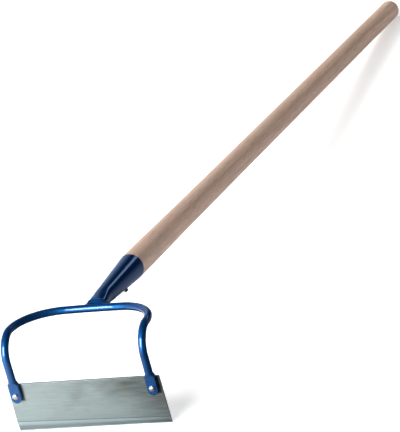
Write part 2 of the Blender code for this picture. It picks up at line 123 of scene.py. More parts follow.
class Wiring:
    """Adds nodes to one tree: their settings first, then the values or links of their sockets."""

    def __init__(self, tree):
        self.tree = tree

    def find(self, sockets, key):
        if isinstance(key, int):
            return sockets[key]
        for socket in sockets:
            if key in (socket.identifier, socket.name) and socket.enabled:
                return socket
        raise KeyError(key)

    def node(self, kind, settings=None, inputs=(), output=0):
        made = self.tree.nodes.new(kind)
        for name, value in (settings or {}).items():
            setattr(made, name, value)
        pairs = inputs.items() if isinstance(inputs, dict) else enumerate(inputs)
        for key, value in pairs:
            self.feed(self.find(made.inputs, key), value)
        return Flow(self, self.find(made.outputs, output))

    def feed(self, socket, value):
        if isinstance(value, Flow):
            self.tree.links.new(value.socket, socket)
            return
        holds = socket.default_value
        is_colour = hasattr(holds, "__len__") and len(holds) == 4
        socket.default_value = (*value, 1.0) if is_colour and len(value) == 3 else value

    def parts(self, vector):
        """The three parts of a vector."""
        made = self.node("ShaderNodeSeparateXYZ", {}, [vector])
        return [Flow(self, socket) for socket in made.socket.node.outputs]


def between(value, low, high):
    """0 up to low, 1 from high on, and a straight rise between them."""
    return value.wiring.node(
        "ShaderNodeMapRange", {}, {"Value": value, "From Min": low, "From Max": high}
    )


def stretches(share, *ends):
    """For each stretch from one end to the next: 0 before it, 1 after it, a straight rise on it."""
    return [between(share, low, high) for low, high in zip(ends, ends[1:])]


def rule_tree(name, sizes):
    """An empty Geometry Nodes tree with a named input for each size: its wiring and its inputs."""
    tree = bpy.data.node_groups.new(name, "GeometryNodeTree")
    tree.interface.new_socket("Geometry", in_out="OUTPUT", socket_type="NodeSocketGeometry")
    for size in sizes:
        tree.interface.new_socket(size, in_out="INPUT", socket_type="NodeSocketFloat")
    tree.interface.new_socket("Finish", in_out="INPUT", socket_type="NodeSocketMaterial")
    wiring = Wiring(tree)
    entry = tree.nodes.new("NodeGroupInput")
    given = {socket.name: Flow(wiring, socket) for socket in entry.outputs if socket.name}
    return wiring, given


def unrolled(wiring, sides, stations):
    """A flat sheet for a round body, with the angle round it and the share of the way along it."""
    sheet = wiring.node(
        "GeometryNodeMeshGrid",
        {},
        {"Size X": 1.0, "Size Y": 1.0, "Vertices X": sides + 1, "Vertices Y": stations + 1},
        "Mesh",
    )
    round_it, along_it = wiring.parts(wiring.node("GeometryNodeInputPosition"))[:2]
    return sheet, (round_it + 0.5) * (2.0 * pi), along_it + 0.5


def turned(wiring, sheet, turn, radius, station, sag=0.0):
    """Roll the sheet round the tool's axis, with a radius and a station for each of its points."""
    across = radius * turn.maths("COSINE")
    up = radius * turn.maths("SINE") - sag
    place = wiring.node("ShaderNodeCombineXYZ", {}, [across, station, up])
    body = wiring.node("GeometryNodeSetPosition", {}, {"Geometry": sheet, "Position": place})
    return wiring.node(
        "GeometryNodeMergeByDistance", {}, {"Geometry": body, "Distance": SAME_POINT}
    )


def finish_tree(wiring, shape, given):
    """Close a tree as the export needs it: instances realised and the finish set."""
    real = wiring.node("GeometryNodeRealizeInstances", {}, [shape])
    dressed = wiring.node(
        "GeometryNodeSetMaterial", {}, {"Geometry": real, "Material": given["Finish"]}
    )
    leave = wiring.tree.nodes.new("NodeGroupOutput")
    wiring.tree.links.new(dressed.socket, leave.inputs[0])


def grow(name, wiring, sizes, finish):
    """Run a tree on an empty mesh and keep its result as a plain mesh, laid in its place."""
    seed = bpy.data.objects.new(name + " seed", bpy.data.meshes.new(name + " seed"))
    bpy.context.scene.collection.objects.link(seed)
    modifier = seed.modifiers.new(name, "NODES")
    modifier.node_group = wiring.tree
    for item in wiring.tree.interface.items_tree:
        if item.in_out == "INPUT":
            modifier[item.identifier] = finish if item.name == "Finish" else sizes[item.name]
    bpy.context.view_layer.update()
    graph = bpy.context.evaluated_depsgraph_get()
    mesh = bpy.data.meshes.new_from_object(seed.evaluated_get(graph))
    bpy.data.objects.remove(seed, do_unlink=True)
    bm = bmesh.new()
    bm.from_mesh(mesh)
    bmesh.ops.remove_doubles(bm, verts=bm.verts, dist=SAME_POINT)
    piece = into_place(name, bm)
    piece.data.materials.append(finish)
    return piece


def new_finish(name):
    """A material with its wiring and its Principled shader."""
    material = bpy.data.materials.new(name)
    material.use_nodes = True
    return material, Wiring(material.node_tree), material.node_tree.nodes["Principled BSDF"]


def tool_millimetres(wiring):
    """The surface point in the tool's frame, in millimetres, from the piece's own coordinates."""
    point = wiring.node("ShaderNodeTexCoord", {}, (), "Object")
    return wiring.node(
        "ShaderNodeMapping",
        {"vector_type": "TEXTURE"},
        {
            "Vector": point,
            "Location": TOOL_PLACE,
            "Rotation": (-TOOL_TILT, 0.0, 0.0),
            "Scale": (0.001,) * 3,
        },
    )


def grain(wiring, point, cells, detail=2.0, roughness=0.5, distortion=0.0):
    """Noise between 0 and 1, with its cells to a millimetre across, along and up."""
    stretched = wiring.node("ShaderNodeVectorMath", {"operation": "MULTIPLY"}, [point, cells])
    return wiring.node(
        "ShaderNodeTexNoise",
        {},
        {
            "Vector": stretched,
            "Scale": 1.0,
            "Detail": detail,
            "Roughness": roughness,
            "Distortion": distortion,
        },
    )


def layered(wiring, colour, *layers):
    """Lay tints over a colour one after another, each by its own share."""
    for share, tint in layers:
        colour = wiring.node(
            "ShaderNodeMix",
            {"data_type": "RGBA"},
            {"Factor_Float": share, "A_Color": colour, "B_Color": tint},
            "Result_Color",
        )
    return colour


def set_bump(wiring, shader, height, distance):
    """Let a height in units of distance raise the surface."""
    bump = wiring.node("ShaderNodeBump", {}, {"Height": height, "Distance": distance})
    wiring.feed(shader.inputs["Normal"], bump)


WOOD_LOW = (0.700, 0.480, 0.368)
# The two far colours hold the wood's warmer tone and painted light for the far end of the pole
WOOD_FAR_TONE_AND_PAINTED_LIGHT = (0.800, 0.535, 0.405)
WOOD_TIP_TONE_AND_PAINTED_LIGHT = (0.980, 0.680, 0.500)
LATE_WOOD = (0.460, 0.300, 0.215)
STREAK = (0.500, 0.350, 0.265)
PALE_CLOUD = (0.760, 0.580, 0.470)
MOTTLE = (0.440, 0.300, 0.220)
PORE = (0.280, 0.165, 0.105)
FIBRE = (0.900, 0.710, 0.580)
PITH_X, PITH_Z = -41.0, 23.0
RING_WIDTH = 2.6
RING_DRIFT = 14.0
ash, wiring, shader = new_finish("sanded ash")
point = tool_millimetres(wiring)
# The pith lay well outside the pole, so the year rings run nearly straight along it
drift = grain(wiring, point, (0.012, 0.0035, 0.012), 1.0) * RING_DRIFT
across, along, up = wiring.parts(point)
from_pith_x = across - PITH_X
from_pith_z = up - PITH_Z
rings = (from_pith_x * from_pith_x + from_pith_z * from_pith_z).maths("SQRT") + drift
year = (rings / RING_WIDTH).maths("FRACT")
late_wood = between(year, 0.35, 0.95)
pores = between(grain(wiring, point, (2.3, 0.045, 2.3), 2.0, 0.55), 0.56, 0.70)
pores = pores * (1.0 - late_wood * 0.75)
fibres = grain(wiring, point, (5.5, 0.12, 5.5), 3.0, 0.6)
streaks = grain(wiring, point, (0.35, 0.006, 0.35))
cloud = grain(wiring, point, (0.02, 0.008, 0.02))
mottle = grain(wiring, point, (0.30, 0.035, 0.30), 2.0, 0.6)
# Towards the tip the wood grows warmer and lighter: partly its own tone, partly painted light where
# the lamps fall off
wood = layered(
    wiring,
    WOOD_LOW,
    (between(along, 500.0, 1100.0), WOOD_FAR_TONE_AND_PAINTED_LIGHT),
    (between(along, 1080.0, 1300.0), WOOD_TIP_TONE_AND_PAINTED_LIGHT),
    (late_wood * 0.42, LATE_WOOD),
    (between(streaks, 0.40, 0.66) * 0.55, STREAK),
    (between(cloud, 0.45, 0.75) * 0.25, PALE_CLOUD),
    (between(mottle, 0.48, 0.64) * 0.30, MOTTLE),
    (pores * 0.70, PORE),
    (between(fibres, 0.45, 0.70) * 0.36, FIBRE),
)
wiring.feed(shader.inputs["Base Color"], wood)
wiring.feed(shader.inputs["Roughness"], 0.52 + pores * 0.18 + fibres * 0.12)
shader.inputs["Specular IOR Level"].default_value = 0.32
set_bump(wiring, shader, fibres * 0.45 - pores * 0.8 + late_wood * 0.15, 0.00006)

wiring, given = rule_tree("turned pole", POLE)
sheet, turn, share = unrolled(wiring, POLE_SIDES, POLE_STATIONS)
tenon_end, tenon_run, shoulder_run, pole_run, dome_run = stretches(
    share, 0.0, 0.02, 0.10, 0.12, 0.88, 1.0
)
dome_turn = dome_run * (pi / 2.0)
pole_length = given["Dome Start"] - given["Shoulder"]
run_up = pole_run * pole_length
tenon_length = given["Shoulder"] - given["Inner End"]
station = (
    given["Inner End"]
    + tenon_run * tenon_length
    + run_up
    + dome_turn.maths("SINE") * given["Dome Length"]
)
thin_tenon = given["Tenon Radius"] - tenon_length * given["Tenon Taper"]
eased_in = 0.5 - (between(run_up / given["Easing Length"], 0.0, 1.0) * pi).maths("COSINE") * 0.5
past_easing = between(run_up, given["Easing Length"], pole_length)
radius = (
    tenon_end * thin_tenon
    + tenon_run * (given["Tenon Radius"] - thin_tenon)
    + shoulder_run * (given["Shoulder Radius"] - given["Tenon Radius"])
    + eased_in * (given["Grip Radius"] - given["Shoulder Radius"])
    + past_easing * (given["Tip Radius"] - given["Grip Radius"])
)
# The marks only go in, so that the pole still lies on the table by its tip
lathe_marks = wiring.node(
    "ShaderNodeTexNoise",
    {"noise_dimensions": "1D"},
    {"W": station, "Scale": LATHE_CELLS, "Detail": 3.0},
) - INWARD
radius = (radius + lathe_marks * given["Unevenness"] * pole_run) * dome_turn.maths("COSINE")
sag = given["Sag"] * (1.0 - station / given["Socket Length"]).maths("MAXIMUM", 0.0)
finish_tree(wiring, turned(wiring, sheet, turn, radius, station, sag), given)
handle = grow("ash_handle", wiring, POLE, ash)
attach(handle, "root")
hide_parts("handle")

# THE SOCKET
# A cone rolled from steel sheet, dipped in blue enamel. The sheet's edges meet in a seam along the
# underside, where the hand never rests, and the rim at the mouth is only lightly broken.
PAINT = (0.0040, 0.072, 0.225)
PAINT_DEEP = (0.0020, 0.048, 0.175)
PAINT_RUBBED = (0.025, 0.085, 0.220)
PAINT_EDGE = (0.020, 0.180, 0.420)


def blue_enamel(name, full=PAINT, deep=PAINT_DEEP):
    """Blue enamel over metal flake under a clear coat, with a faint flow, dust and fine rubbing."""
    material, wiring, shader = new_finish(name)
    point = tool_millimetres(wiring)
    flow = grain(wiring, point, (0.10, 0.05, 0.10))
    peel = grain(wiring, point, (0.8, 0.8, 0.8))
    flake = grain(wiring, point, (6.0, 6.0, 6.0), 2.0, 0.6)
    rubbed = between(grain(wiring, point, (1.5, 0.10, 1.5), 3.0, 0.6), 0.60, 0.75)
    colour = layered(
        wiring, deep, (between(flow, 0.30, 0.72), full), (rubbed * 0.18, PAINT_RUBBED)
    )
    wiring.feed(shader.inputs["Base Color"], colour)
    wiring.feed(shader.inputs["Roughness"], 0.42 + flake * 0.08 + rubbed * 0.10)
    shader.inputs["Metallic"].default_value = 0.88
    shader.inputs["Specular Tint"].default_value = (*PAINT_EDGE, 1.0)
    wiring.feed(shader.inputs["Coat Weight"], 1.0 - rubbed * 0.35)
    shader.inputs["Coat Roughness"].default_value = 0.04
    set_bump(wiring, shader, peel * 0.6 + flake * 0.08, 0.000006)
    return material


SOCKET_SIDES = 128
SOCKET_STATIONS = 90
PRESSED_LENGTH = 0.0230
SPREAD = 0.0016
PINCH = 0.0019
SEAM_ANGLE = radians(-100.0)
SEAM_HALF_WIDTH = 0.00025
SEAM_DEPTH = 0.0004
SEAM_CORNERS = (-0.03, -0.015, 0.0, 0.015, 0.03)
RIM_ROUND = 0.0004
RIM_STEPS = 3


def socket_radius(y):
    return SOCKET_NECK / 2.0 + y * tan(socket_taper)


def socket_middle(y):
    return -SOCKET_SAG * max(0.0, 1.0 - y / SOCKET_LENGTH)


def eased(share):
    """A share that starts and ends gently."""
    return share * share * (3.0 - 2.0 * share)


def skin(bm, rings):
    """Faces from each ring of corners to the next."""
    for ring, following in zip(rings, rings[1:]):
        for i in range(len(ring)):
            j = (i + 1) % len(ring)
            bm.faces.new((ring[i], ring[j], following[j], following[i]))


# Radius, station and how much of the seam shows, up the outside, over the rim and down the inside
wall = SOCKET_WALL / cos(socket_taper)
outline = [(socket_radius(0.0) - RIM_ROUND, 0.0, 0.0)]
for step in range(SOCKET_STATIONS + 1):
    y = RIM_ROUND + (SOCKET_LENGTH - 2.0 * RIM_ROUND) * step / SOCKET_STATIONS
    outline.append((socket_radius(y), y, 1.0))
for step in range(1, RIM_STEPS + 1):
    angle = pi / 2.0 * step / RIM_STEPS
    y = SOCKET_LENGTH - RIM_ROUND + RIM_ROUND * sin(angle)
    outline.append((socket_radius(SOCKET_LENGTH) - RIM_ROUND * (1.0 - cos(angle)), y, 0.5))
outline.append((socket_radius(SOCKET_LENGTH) - wall, SOCKET_LENGTH, 0.0))
outline.append((socket_radius(0.0) - wall, 0.0, 0.0))
angles = [2.0 * pi * side / SOCKET_SIDES for side in range(SOCKET_SIDES)]
angles += [SEAM_ANGLE % (2.0 * pi) + offset for offset in SEAM_CORNERS]
angles.sort()
bm = bmesh.new()
rings = []
for radius, y, seam in outline:
    # The small end is pressed oval, wider and flatter, where it meets the rod
    pressed = eased(min(1.0, max(0.0, 1.0 - y / PRESSED_LENGTH)))
    ring = []
    for angle in angles:
        from_seam = abs((angle - SEAM_ANGLE + pi) % (2.0 * pi) - pi) * radius
        groove = SEAM_DEPTH * seam * exp(-((from_seam / SEAM_HALF_WIDTH) ** 2))
        wide = radius - groove + SPREAD * pressed
        high = radius - groove - PINCH * pressed
        ring.append(bm.verts.new((wide * cos(angle), y, high * sin(angle) + socket_middle(y))))
    rings.append(ring)
skin(bm, rings + rings[:1])
socket = into_place("rolled_socket", bm)
socket.data.materials.append(blue_enamel("blue enamel, dipped socket"))
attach(socket, "root")
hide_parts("socket")

# THE BOW
# One 8 mm steel rod bent three ways into a stirrup: over the crown, out and forward along both arms,
# down the legs. Both ends are forged flat into tabs, and the whole is enamelled with the socket.
ROD = 0.0040
SPAN = 0.0720
CROWN_DROP = 0.0051
SHOULDER_REACH = 0.0159
SHOULDER_RISE = 0.0038
ARM_REACH = 0.0690
ARM_DROP = 0.0045
CROWN_BEND = 0.137
SHOULDER_BEND = 0.0530
KNEE_BEND = 0.0225
LEG_LENGTH = 0.0530
LEAN = radians(12.9)
TAB_HALF_WIDTH = 0.0053
TAB_HALF_THICKNESS = 0.0025
TAB_RISE = 0.0010
TAB_TAIL = 0.0029
TAB_CORNER = 0.0007
TAB_SWEEP = radians(86.0)
TAB_STEPS = 22
FORGED_LENGTH = 0.0050
FORGING_STEPS = 14
RIVET_DROP = 0.0109
BLADE_THICKNESS = 0.0020
BEND_STEP = radians(2.5)
ROD_SIDES = 48
HALVES_MEET = 0.00002
crown = Vector((0.0, -ROD - SEAT, -CROWN_DROP))
shoulder = crown + Vector((SPAN, -SHOULDER_REACH, SHOULDER_RISE))
knee = shoulder + Vector((0.0, -ARM_REACH, -ARM_DROP))
down = Vector((0.0, sin(LEAN), -cos(LEAN)))
back = Vector((0.0, cos(LEAN), sin(LEAN)))


def bent_rod(corners, radii):
    """Points along a rod through its corners, with an arc at each; arcs have an even step count."""
    path = [corners[0]]
    for before, corner, after, radius in zip(corners, corners[1:], corners[2:], radii):
        into = (corner - before).normalized()
        out = (after - corner).normalized()
        bend = into.angle(out)
        cut = radius * tan(bend / 2.0)
        centre = corner + (out - into).normalized() * (radius / cos(bend / 2.0))
        spoke = corner - into * cut - centre
        steps = 2 * max(1, round(bend / BEND_STEP / 2.0))
        axis = into.cross(out).normalized()
        for step in range(steps + 1):
            path.append(centre + Matrix.Rotation(bend * step / steps, 3, axis) @ spoke)
    return path + [corners[-1]]


# Each station is a spot on the rod's middle line, half its width, half its thickness and the
# round of its corners: half of the rod from the middle of the crown, the forging, the tab
leg_end = knee + down * (LEG_LENGTH - TAB_RISE - FORGED_LENGTH)
mirrored = Vector((-shoulder.x, shoulder.y, shoulder.z))
bends = [CROWN_BEND, SHOULDER_BEND, KNEE_BEND]
whole = bent_rod([mirrored, crown, shoulder, knee, leg_end], bends)
middle = min(range(len(whole)), key=lambda i: abs(whole[i].x))
stations = [(spot, ROD, ROD, ROD) for spot in whole[middle:-1]]
for step in range(FORGING_STEPS + 1):
    share = step / FORGING_STEPS
    width = ROD + (TAB_HALF_WIDTH - ROD) * eased(share)
    thickness = ROD + (TAB_HALF_THICKNESS - ROD) * eased(share)
    along = LEG_LENGTH - TAB_RISE - FORGED_LENGTH * (1.0 - share)
    corner = thickness + (TAB_CORNER - thickness) * eased(share)
    stations.append((knee + down * along, width, thickness, corner))
for step in range(TAB_STEPS + 1):
    angle = TAB_SWEEP * step / TAB_STEPS
    width = TAB_HALF_WIDTH * cos(angle)
    along = LEG_LENGTH + RIVET_DROP + TAB_TAIL + TAB_HALF_WIDTH * sin(angle)
    stations.append((knee + down * along, width, TAB_HALF_THICKNESS, min(TAB_CORNER, width)))
spots = [station[0] for station in stations]
last = len(spots) - 1
headings = [
    (spots[min(i + 1, last)] - spots[max(i - 1, 0)]).normalized() for i in range(last + 1)
]
headings[0] = Vector((1.0, 0.0, 0.0))
rings = []
across = Vector((1.0, 0.0, 0.0))
for (spot, width, thickness, corner), heading in zip(reversed(stations), reversed(headings)):
    across = (across - heading * across.dot(heading)).normalized()
    through = heading.cross(across)
    ring = []
    for side in range(ROD_SIDES):
        angle = 2.0 * pi * (side + 0.5) / ROD_SIDES
        u = (width - corner) * (1.0 if cos(angle) > 0.0 else -1.0) + corner * cos(angle)
        v = (thickness - corner) * (1.0 if sin(angle) > 0.0 else -1.0) + corner * sin(angle)
        ring.append(spot + across * u + through * v)
    rings.append(ring)
rings.reverse()
bm = bmesh.new()
for side in (1.0, -1.0):
    made = [[bm.verts.new((side * p.x, p.y, p.z)) for p in ring] for ring in rings]
    skin(bm, made)
    bm.faces.new(made[-1])
bmesh.ops.remove_doubles(bm, verts=bm.verts, dist=HALVES_MEET)
bow = into_place("bent_bow", bm)
# The small rod takes a thinner, brighter coat than the socket
ROD_PAINT = (0.0040, 0.090, 0.285)
ROD_PAINT_DEEP = (0.0025, 0.068, 0.230)
bow.data.materials.append(blue_enamel("blue enamel, rod", ROD_PAINT, ROD_PAINT_DEEP))
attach(bow, "root")
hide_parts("bow")

# THE WELD
# A single pass closes the socket's small end and runs down in a hollow slope onto the rod. It froze
# in ripples along its lip, spat three drops to the left of it, and is enamelled with the rest.
WELD_OVERLAP = 0.0016
WELD_REACH = 0.0054
WELD_THROAT = 0.0001
WELD_FLARE = 0.0022
WELD_RUN = 0.0060
WELD_UNDERSIDE = 0.0030
WELD_HEART_DROP = 0.0006
WELD_SIDES = 180
WELD_STEPS = 48
INSIDE_ROWS = 0.15
SLOPE_ROWS = 0.75
CLOSING_ROWS = 0.10
INSIDE_SIZE = 0.96
FALL_CURVE = 1.15
FLARE_CURVE = 1.6
RIDGE_HEIGHT = 0.0004
RIDGE_SPOT = 0.16
RIDGE_SPREAD = 0.08
RIPPLE_DEPTH = 0.00022
RIPPLE_PITCH = 0.0021
RIPPLE_SLANT = 0.6
LIP_OVERHANG = 0.3
LIP_MEETS = 0.00001
PIT_CELLS = 900.0
PIT_DEPTH = 0.00005
SPATTER = (
    (-0.0058, 0.0030, 0.0034, 0.0006),
    (-0.0072, -0.0004, 0.0016, 0.0006),
    (-0.0098, -0.0030, -0.0012, 0.0005),
)
rod_top = crown.z + ROD
half_length = SOCKET_NECK / 2.0 + SPREAD
top = SOCKET_NECK / 2.0 - PINCH + WELD_THROAT - SOCKET_SAG
half_height = (top - crown.z + WELD_UNDERSIDE) / 2.0
heart = top - half_height
closed_at = rod_top - WELD_HEART_DROP
bm = bmesh.new()
rows = []
for step in range(WELD_STEPS + 1):
    run = step / WELD_STEPS
    if run < INSIDE_ROWS:
        # Inside the socket's end
        depth = WELD_OVERLAP * (1.0 - run / INSIDE_ROWS)
        fall, flare, close, ridge = 1.0, 0.0, INSIDE_SIZE, 0.0
    else:
        # Down the slope, from a small ridge at its head to a lip that ends flush on the rod
        part = min(1.0, (run - INSIDE_ROWS) / SLOPE_ROWS)
        depth = -WELD_REACH * part
        fall, flare = 1.0 - part ** FALL_CURVE, part ** FLARE_CURVE
        ridge = RIDGE_HEIGHT * exp(-(((part - RIDGE_SPOT) / RIDGE_SPREAD) ** 2))
        close = 1.0 - max(0.0, run - (1.0 - CLOSING_ROWS)) / CLOSING_ROWS
    row = []
    for side in range(WELD_SIDES):
        angle = 2.0 * pi * side / WELD_SIDES
        x = half_length * cos(angle)
        z = heart + half_height * sin(angle)
        if z > rod_top:
            z = rod_top + (z - rod_top) * fall
        elif z < crown.z:
            z = crown.z + (z - crown.z) * fall
        spread = WELD_FLARE + (WELD_RUN if x > 0.0 else 0.0)
        x += spread * cos(angle) * flare + ridge * cos(angle)
        z += ridge * max(0.0, sin(angle))
        lip = flare * max(0.0, sin(angle) + LIP_OVERHANG)
        wave = cos(2.0 * pi * (x - RIPPLE_SLANT * depth) / RIPPLE_PITCH)
        ripple = RIPPLE_DEPTH * lip * wave
        pitted = noise.noise(Vector((x, depth, z)) * PIT_CELLS) * PIT_DEPTH
        up = closed_at + (z - closed_at) * close + ripple + pitted
        row.append(bm.verts.new((x * close, depth - ripple, up)))
    rows.append(row)
skin(bm, rows)
bm.faces.new(rows[0])
bmesh.ops.remove_doubles(bm, verts=bm.verts, dist=LIP_MEETS)
for x, y, z, size in SPATTER:
    drop = bmesh.ops.create_icosphere(bm, subdivisions=3, radius=size)
    bmesh.ops.translate(bm, verts=drop["verts"], vec=(x, y, z))
weld = into_place("weld_nose", bm)
weld.data.materials.append(blue_enamel("blue enamel, weld"))
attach(weld, "root")
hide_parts("weld_bead")

# THE BLADE
# A strip of 2 mm spring steel, sheared to length and left bare. A bevel is ground by hand along the
# cutting edge, half as wide again at the left, and rolling marks run along the plate.
BLADE_HALF = 0.0800
EDGE_HALF = 0.0808
BLADE_HEIGHT = 0.0554
BEVEL_LEFT = 0.0115
BEVEL_RIGHT = 0.0078
EDGE_THICKNESS = 0.0005
TOP_BREAK = 0.00015
EDGE_BREAK = 0.0001
GRINDING = 0.00025
GRINDING_WAVES = 9.0
WEAR = 0.00010
WEAR_WAVES = 40.0
COLUMNS = 160
half = BLADE_THICKNESS / 2.0
blade_top = knee + down * LEG_LENGTH + back * (TAB_HALF_THICKNESS + SEAT + half)
blade_top.x = 0.0
bm = bmesh.new()
columns = []
for column in range(COLUMNS + 1):
    share = column / COLUMNS
    bevel = BEVEL_LEFT + (BEVEL_RIGHT - BEVEL_LEFT) * share
    bevel += GRINDING * noise.noise(Vector((share * GRINDING_WAVES, 0.0, 3.0)))
    worn = min(0.0, WEAR * noise.noise(Vector((share * WEAR_WAVES, 7.0, 0.0))))
    ring = []
    for through, height in (
        (-half, -TOP_BREAK),
        (-half + TOP_BREAK, 0.0),
        (half - TOP_BREAK, 0.0),
        (half, -TOP_BREAK),
        (half, -BLADE_HEIGHT + EDGE_BREAK),
        (half - EDGE_BREAK, -BLADE_HEIGHT - worn),
        (half - EDGE_THICKNESS, -BLADE_HEIGHT - worn),
        (-half, -BLADE_HEIGHT + bevel),
    ):
        reach = BLADE_HALF + (EDGE_HALF - BLADE_HALF) * (-height / BLADE_HEIGHT)
        spot = blade_top + back * through - down * height
        ring.append(bm.verts.new((reach * (2.0 * share - 1.0), spot.y, spot.z)))
    columns.append(ring)
skin(bm, columns)
bm.faces.new(columns[0])
bm.faces.new(columns[-1])
blade = into_place("steel_blade", bm, sharp=radians(4.0))

STEEL = (0.335, 0.400, 0.395)
# Dark steel patches and painted shade
STEEL_PATCHES_AND_PAINTED_SHADE = (0.100, 0.125, 0.118)
STEEL_ROLLED = (0.260, 0.320, 0.320)
STEEL_STAIN = (0.190, 0.150, 0.110)
STEEL_BRUSHED = (0.500, 0.585, 0.590)
# Painted light on the lower blade
STEEL_PAINTED_LIGHT_LOW = (0.480, 0.580, 0.575)
STEEL_GROUND = (0.640, 0.740, 0.740)
STEEL_BURR = (0.090, 0.115, 0.115)
# Painted shade beside the tabs
PAINTED_TAB_SHADE = (0.010, 0.018, 0.035)
MILLIMETRES = 1000.0
steel, wiring, shader = new_finish("bare spring steel")
on_blade = wiring.node(
    "ShaderNodeMapping",
    {"vector_type": "TEXTURE"},
    {
        "Vector": tool_millimetres(wiring),
        "Location": blade_top * MILLIMETRES,
        "Rotation": (LEAN, 0.0, 0.0),
    },
)
across, through, up = wiring.parts(on_blade)
brushed = grain(wiring, on_blade, (0.035, 2.0, 2.2), 3.0, 0.6)
rolled = grain(wiring, on_blade, (0.012, 0.3, 0.30))
cloud = grain(wiring, on_blade, (0.022, 0.05, 0.055), 2.0, 0.5, 0.4)
stain = grain(wiring, on_blade, (0.045, 0.05, 0.085), 3.0, 0.5, 0.2)
share = (across + BLADE_HALF * MILLIMETRES) / (2.0 * BLADE_HALF * MILLIMETRES)
bevel_change = (BEVEL_RIGHT - BEVEL_LEFT) * MILLIMETRES
bevel_height = BEVEL_LEFT * MILLIMETRES + share * bevel_change
above_bevel = up + BLADE_HEIGHT * MILLIMETRES - bevel_height
on_front = between(through, -0.2, -0.6)
ground = (1.0 - between(above_bevel, -0.25, 0.25)) * on_front
# The steel darkens in random patches and towards its upper right corner, and with painted shade
# towards the right, most at the right end
dark_corner = between(across, 5.0, 62.0) * between(up, -42.0, -12.0)
painted_shade_rightward = between(across, -25.0, 80.0)
painted_shade_right_end = between(across, 40.0, 78.0)
patches_and_painted_shade = cloud * 0.75 + dark_corner * 0.42 + painted_shade_rightward * 0.16 + painted_shade_right_end * 0.22
patches_and_painted_shade = between(patches_and_painted_shade, 0.40, 0.84)
# Painted light: the blade is lighter towards its cutting edge, less so at the right end
foot = between(up, -18.0, -50.0) * (0.30 - painted_shade_right_end * 0.24)
burr = between(above_bevel, -0.30, 0.10) * (1.0 - between(above_bevel, 0.30, 0.80)) * on_front
# Painted shade darkens the steel along the right side of each tab
painted_shade_left_tab = between(across, -76.0, -74.0) * (1.0 - between(across, -66.2, -63.8))
painted_shade_right_tab = between(across, 68.0, 70.0) * (1.0 - between(across, 77.8, 80.2))
painted_shade_beside_tabs = (painted_shade_left_tab + painted_shade_right_tab) * between(up, -20.5, -18.5) * on_front
colour = layered(
    wiring,
    STEEL,
    (patches_and_painted_shade, STEEL_PATCHES_AND_PAINTED_SHADE),
    (between(rolled, 0.35, 0.70) * 0.30, STEEL_ROLLED),
    (between(stain, 0.46, 0.70) * (0.14 + dark_corner * 0.6), STEEL_STAIN),
    (between(brushed, 0.44, 0.66) * 0.34, STEEL_BRUSHED),
    (foot, STEEL_PAINTED_LIGHT_LOW),
    (ground * (0.60 - painted_shade_right_end * 0.35), STEEL_GROUND),
    (burr * 0.75, STEEL_BURR),
    (painted_shade_beside_tabs * 0.9, PAINTED_TAB_SHADE),
)
wiring.feed(shader.inputs["Base Color"], colour)
roughness = 0.30 + brushed * 0.12 + ground * 0.10 + patches_and_painted_shade * 0.05
wiring.feed(shader.inputs["Roughness"], roughness)
shader.inputs["Metallic"].default_value = 0.85
set_bump(wiring, shader, brushed * 0.5 + rolled * 0.8, 0.00003)
blade.data.materials.append(steel)
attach(blade, "root")
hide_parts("blade")

# THE RIVETS
# Two steel rivets hold the blade to the tabs. Their domed heads face the work, are zinc plated and
# keep the marks of the snap; behind, the tails are hammered flush into a countersink.
COUNTERSINK = 0.0010
FLUSH = 0.00005
RIVET_SIDES = 48
RIVET_STATIONS = 40
SNAP_CELLS = 520.0
RIVET = {
    "Span": 2.0 * SPAN,
    "Shank Radius": 0.0024,
    "Head Radius": 0.0034,
    "Head Height": 0.0022,
    "Tail Radius": 0.0034,
    "Front": -half - 2.0 * SEAT - 2.0 * TAB_HALF_THICKNESS,
    "Tail Start": half - COUNTERSINK,
    "Back": half - FLUSH,
    "Hammering": 0.00007,
}
ZINC = (0.500, 0.530, 0.580)
ZINC_DULL = (0.380, 0.410, 0.470)
GRIME = (0.220, 0.220, 0.230)
zinc, wiring, shader = new_finish("bright zinc")
point = tool_millimetres(wiring)
cloud = grain(wiring, point, (0.45, 0.45, 0.45))
speck = grain(wiring, point, (2.6, 2.6, 2.6), 3.0, 0.6)
grime = between(grain(wiring, point, (0.9, 0.9, 0.9), 3.0, 0.6), 0.55, 0.75)
colour = layered(wiring, ZINC, (between(cloud, 0.3, 0.7), ZINC_DULL), (grime * 0.45, GRIME))
wiring.feed(shader.inputs["Base Color"], colour)
wiring.feed(shader.inputs["Roughness"], 0.30 + speck * 0.18 + grime * 0.2)
shader.inputs["Metallic"].default_value = 1.0
set_bump(wiring, shader, speck * 0.5 + cloud, 0.00003)

wiring, given = rule_tree("flush rivets", RIVET)
sheet, turn, share = unrolled(wiring, RIVET_SIDES, RIVET_STATIONS)
dome_run, under_head, shank_run, flare_run, close_run = stretches(
    share, 0.0, 0.5, 0.6, 0.7, 0.8, 1.0
)
dome_turn = dome_run * (pi / 2.0)
station = (
    given["Front"]
    - dome_turn.maths("COSINE") * given["Head Height"]
    + shank_run * (given["Tail Start"] - given["Front"])
    + flare_run * (given["Back"] - given["Tail Start"])
)
radius = (
    dome_turn.maths("SINE") * given["Head Radius"]
    + under_head * (given["Shank Radius"] - given["Head Radius"])
    + flare_run * (given["Tail Radius"] - given["Shank Radius"])
    - close_run * given["Tail Radius"]
)
rivet = turned(wiring, sheet, turn, radius, station)
half_span = given["Span"] * 0.5
ends = wiring.node(
    "GeometryNodeMeshLine",
    {"mode": "END_POINTS"},
    {
        "Count": 2,
        "Start Location": wiring.node("ShaderNodeCombineXYZ", {}, [half_span * -1.0, 0.0, 0.0]),
        "Offset": wiring.node("ShaderNodeCombineXYZ", {}, [half_span, 0.0, 0.0]),
    },
)
placed = wiring.node("GeometryNodeInstanceOnPoints", {}, {"Points": ends, "Instance": rivet})
